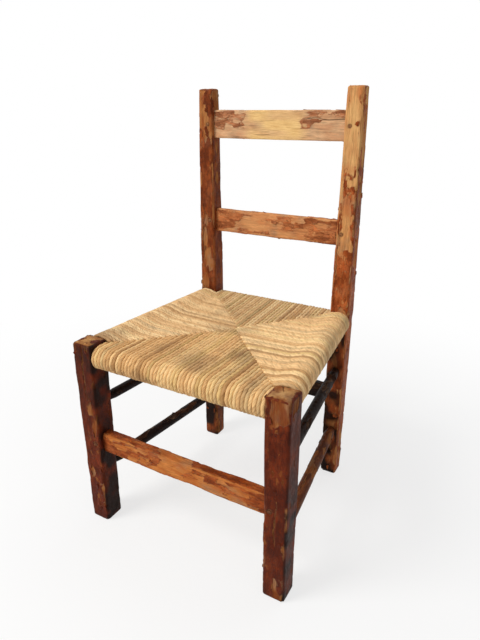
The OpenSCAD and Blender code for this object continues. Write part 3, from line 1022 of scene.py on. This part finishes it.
def right_post_pale(t, a, b):
    return 0.5 * smooth(t, 0.6, 0.9) * (b < 0.5)


def top_slat_pale(t, a, b):
    return smooth(t, 0.23, 0.34) * (1 - smooth(t, 0.64, 0.76)) * (a < 0.95)


def foot_grime(t):
    return 0.35 * smooth(t, 0.1, 0.0)


def right_leg_grime_and_shade(t, a, b):
    """Painted shade on the legs' right faces, darkest low down, with dirt at the feet."""
    return foot_grime(t) + smooth(a, 0.75, 1.0) * (0.95 - 0.55 * smooth(t, 0.4, 0.7))


def left_leg_grime_and_shade(t, a, b):
    # The left leg also gets painted shade on its upper part, up to the seat.
    return right_leg_grime_and_shade(t, a, b) + 0.55 * smooth(t, 0.55, 0.75) * (t < 0.999)


def post_grime_and_shade(t, b):
    """Painted shade on the back posts below the seat, most of all in front, with dirt at the feet."""
    return foot_grime(t) + (0.35 + 0.6 * (b < -0.9)) * smooth(t, 0.49, 0.42)


def left_post_grime_and_shade(t, a, b):
    # More painted shade below the seat on the left post.
    return post_grime_and_shade(t, b) + 0.35 * smooth(t, 0.49, 0.42)


def right_post_grime_and_shade(t, a, b):
    # Painted shade on the right face above the seat; below the seat that face takes little of the dirt and
    # shade.
    side = 0.45 * smooth(a, 0.7, 1.0) * smooth(t, 0.6, 0.66) * smooth(t, 0.86, 0.8)
    return post_grime_and_shade(t, b) * (1 - 0.9 * (a > 0.9)) + side


def joint_grime(t, a, b):
    return 0.45 * (smooth(t, 0.06, 0.0) + smooth(t, 0.94, 1.0))


def stretcher_grime(t, a, b):
    """Darker on top of the front stretcher, least near its right end, with dirt at the joints."""
    return joint_grime(t, a, b) * (1 - 0.5 * (t > 0.5)) + 0.22 * smooth(b, 0.8, 1.0) * smooth(t, 0.85, 0.65)


def under_seat_shade_and_grime(t, a, b):
    """Painted shade on what is below the seat, most of all on its undersides, with dirt at the joints."""
    return 0.2 + 0.25 * (b < -0.3) + joint_grime(t, a, b)


# -------- the pieces

place_camera()
studio()

PAINT = {}
for name, paint, bare, ghost, thin in (
        ("leg", rgb(0.39, 0.135, 0.035), rgb(0.66, 0.42, 0.23), 0.7, 0.15),
        ("left_post", rgb(0.49, 0.22, 0.08), rgb(0.70, 0.46, 0.26), 0.6, 0.4),
        ("right_post", rgb(0.62, 0.29, 0.12), rgb(0.84, 0.59, 0.36), 0.5, 0.5),
        ("top_slat", rgb(0.67, 0.41, 0.26), rgb(0.88, 0.70, 0.53), 0.35, 0.9),
        ("lower_slat", rgb(0.67, 0.37, 0.20), rgb(0.89, 0.63, 0.41), 0.4, 0.8),
        ("stretcher", rgb(0.60, 0.27, 0.10), rgb(0.83, 0.52, 0.27), 0.5, 0.7),
        ("worn_rung", rgb(0.42, 0.21, 0.10), rgb(0.66, 0.43, 0.26), 0.7, 0.4),
        # Near-black paint on the rear stretcher and all rungs but the right lower one: painted shade below
        # the seat.
        ("rung", rgb(0.11, 0.05, 0.03), rgb(0.29, 0.17, 0.10), 0.8, 0.2)):
    PAINT[name] = PaintedWood(name + "_paint", paint, bare, ghost, thin).surface()
# Each seat section's rush is a lighter or darker copy: painted sheen from how light falls along its cords,
# brightest on the right and in front.
SHEEN_TINTS = {"front": (1.09, 1.03, 0.93), "back": (0.99,) * 3, "left": (1.02, 1.02, 1.03), "right": (1.14,) * 3}
RUSH = {section: rush("rush_" + section, sheen_tint) for section, sheen_tint in SHEEN_TINTS.items()}


def legs():
    splits = [(0.72, 1.1, 1.6), (-0.1, 0.22, 1.2), (0.3, 0.55, 0.9)]
    for side, seed, grime in ((LEFT, 11, left_leg_grime_and_shade), (RIGHT, 23, right_leg_grime_and_shade)):
        pegs = [peg_head("stretcher_pegs", "front_stretcher", side)]
        leg = upright(LEGS[side], seed, cover=leg_cover_and_shade, grime=grime, splits=splits, pale=leg_pale, pegs=pegs)
        leg.build("leg_paint", PAINT["leg"], 24)


def posts():
    splits = [(0.82, 1.1, 1.8), (0.55, 0.75, 1.2), (0.1, 0.3, 1.0), (-0.1, 0.12, 1.1)]
    looks = {LEFT: {"cover": left_post_cover, "grime": left_post_grime_and_shade},
             RIGHT: {"cover": right_post_cover, "grime": right_post_grime_and_shade, "pale": right_post_pale}}
    for side, seed in ((LEFT, 31), (RIGHT, 43)):
        pegs = [peg_head("slat_pegs", slat, side) for slat in ("top_slat", "lower_slat")]
        post = upright(POSTS[side], seed, splits=splits, pegs=pegs, **looks[side])
        post.build("post_paint", PAINT[SIDE_NAMES[side] + "_post"], 46)


def slats():
    top = board("top_slat", 53, POSTS, cover=top_slat_cover, pale=top_slat_pale, grime=joint_grime,
                splits=[(-0.1, 0.2, 1.0), (0.7, 1.1, 1.0)])
    top.build("slat_paint", PAINT["top_slat"], 26)
    lower = board("lower_slat", 67, POSTS, cover=lower_slat_cover, grime=joint_grime,
                  splits=[(-0.1, 0.25, 1.0), (0.4, 0.6, 0.8)])
    lower.build("slat_paint", PAINT["lower_slat"], 26)


def stretchers():
    front = board("front_stretcher", 71, LEGS, cover=stretcher_cover, grime=stretcher_grime,
                  splits=[(0.6, 1.1, 1.2)])
    front.build("slat_paint", PAINT["stretcher"], 26)
    rear = board("rear_stretcher", 83, POSTS, cover=rung_cover, grime=under_seat_shade_and_grime,
                 splits=[(-0.1, 0.3, 1.0)])
    rear.build("rung_paint", PAINT["rung"], 12)


def rungs():
    splits = [(0.2, 0.5, 0.8)]
    for side in (LEFT, RIGHT):
        for level, seed in (("lower", 91), ("upper", 97)):
            node = SIDE_NAMES[side] + "_" + level + "_rung"
            paint = "worn_rung" if node == "right_lower_rung" else "rung"
            piece = rung(node, seed + side, side, cover=rung_cover, grime=under_seat_shade_and_grime, splits=splits)
            piece.build("rung_paint", PAINT[paint], 10)


def finish_frame_pieces():
    """The rails, packing and pegs stay as the frame has them, with their own materials."""
    bare = plain("bare_wood", rgb(0.62, 0.45, 0.28), rgb(0.82, 0.65, 0.44), (1, 1, 1))
    finishes = {
        "slat_pegs": plain("slat_peg", rgb(0.38, 0.22, 0.12), rgb(0.60, 0.40, 0.23), (1, 0.1, 1)),
        "stretcher_pegs": plain("leg_peg", rgb(0.24, 0.11, 0.05), rgb(0.46, 0.25, 0.12), (1, 0.1, 1)),
        "seat_packing": plain("straw", rgb(0.55, 0.42, 0.22), rgb(0.80, 0.66, 0.40), (1, 0.15, 1))}
    finishes.update({section + "_seat_rail": bare for section in RUSH})
    for node, material in finishes.items():
        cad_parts[node].data.materials.clear()
        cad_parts[node].data.materials.append(material)


legs()
posts()
slats()
stretchers()
rungs()
Seat().build()
finish_frame_pieces()
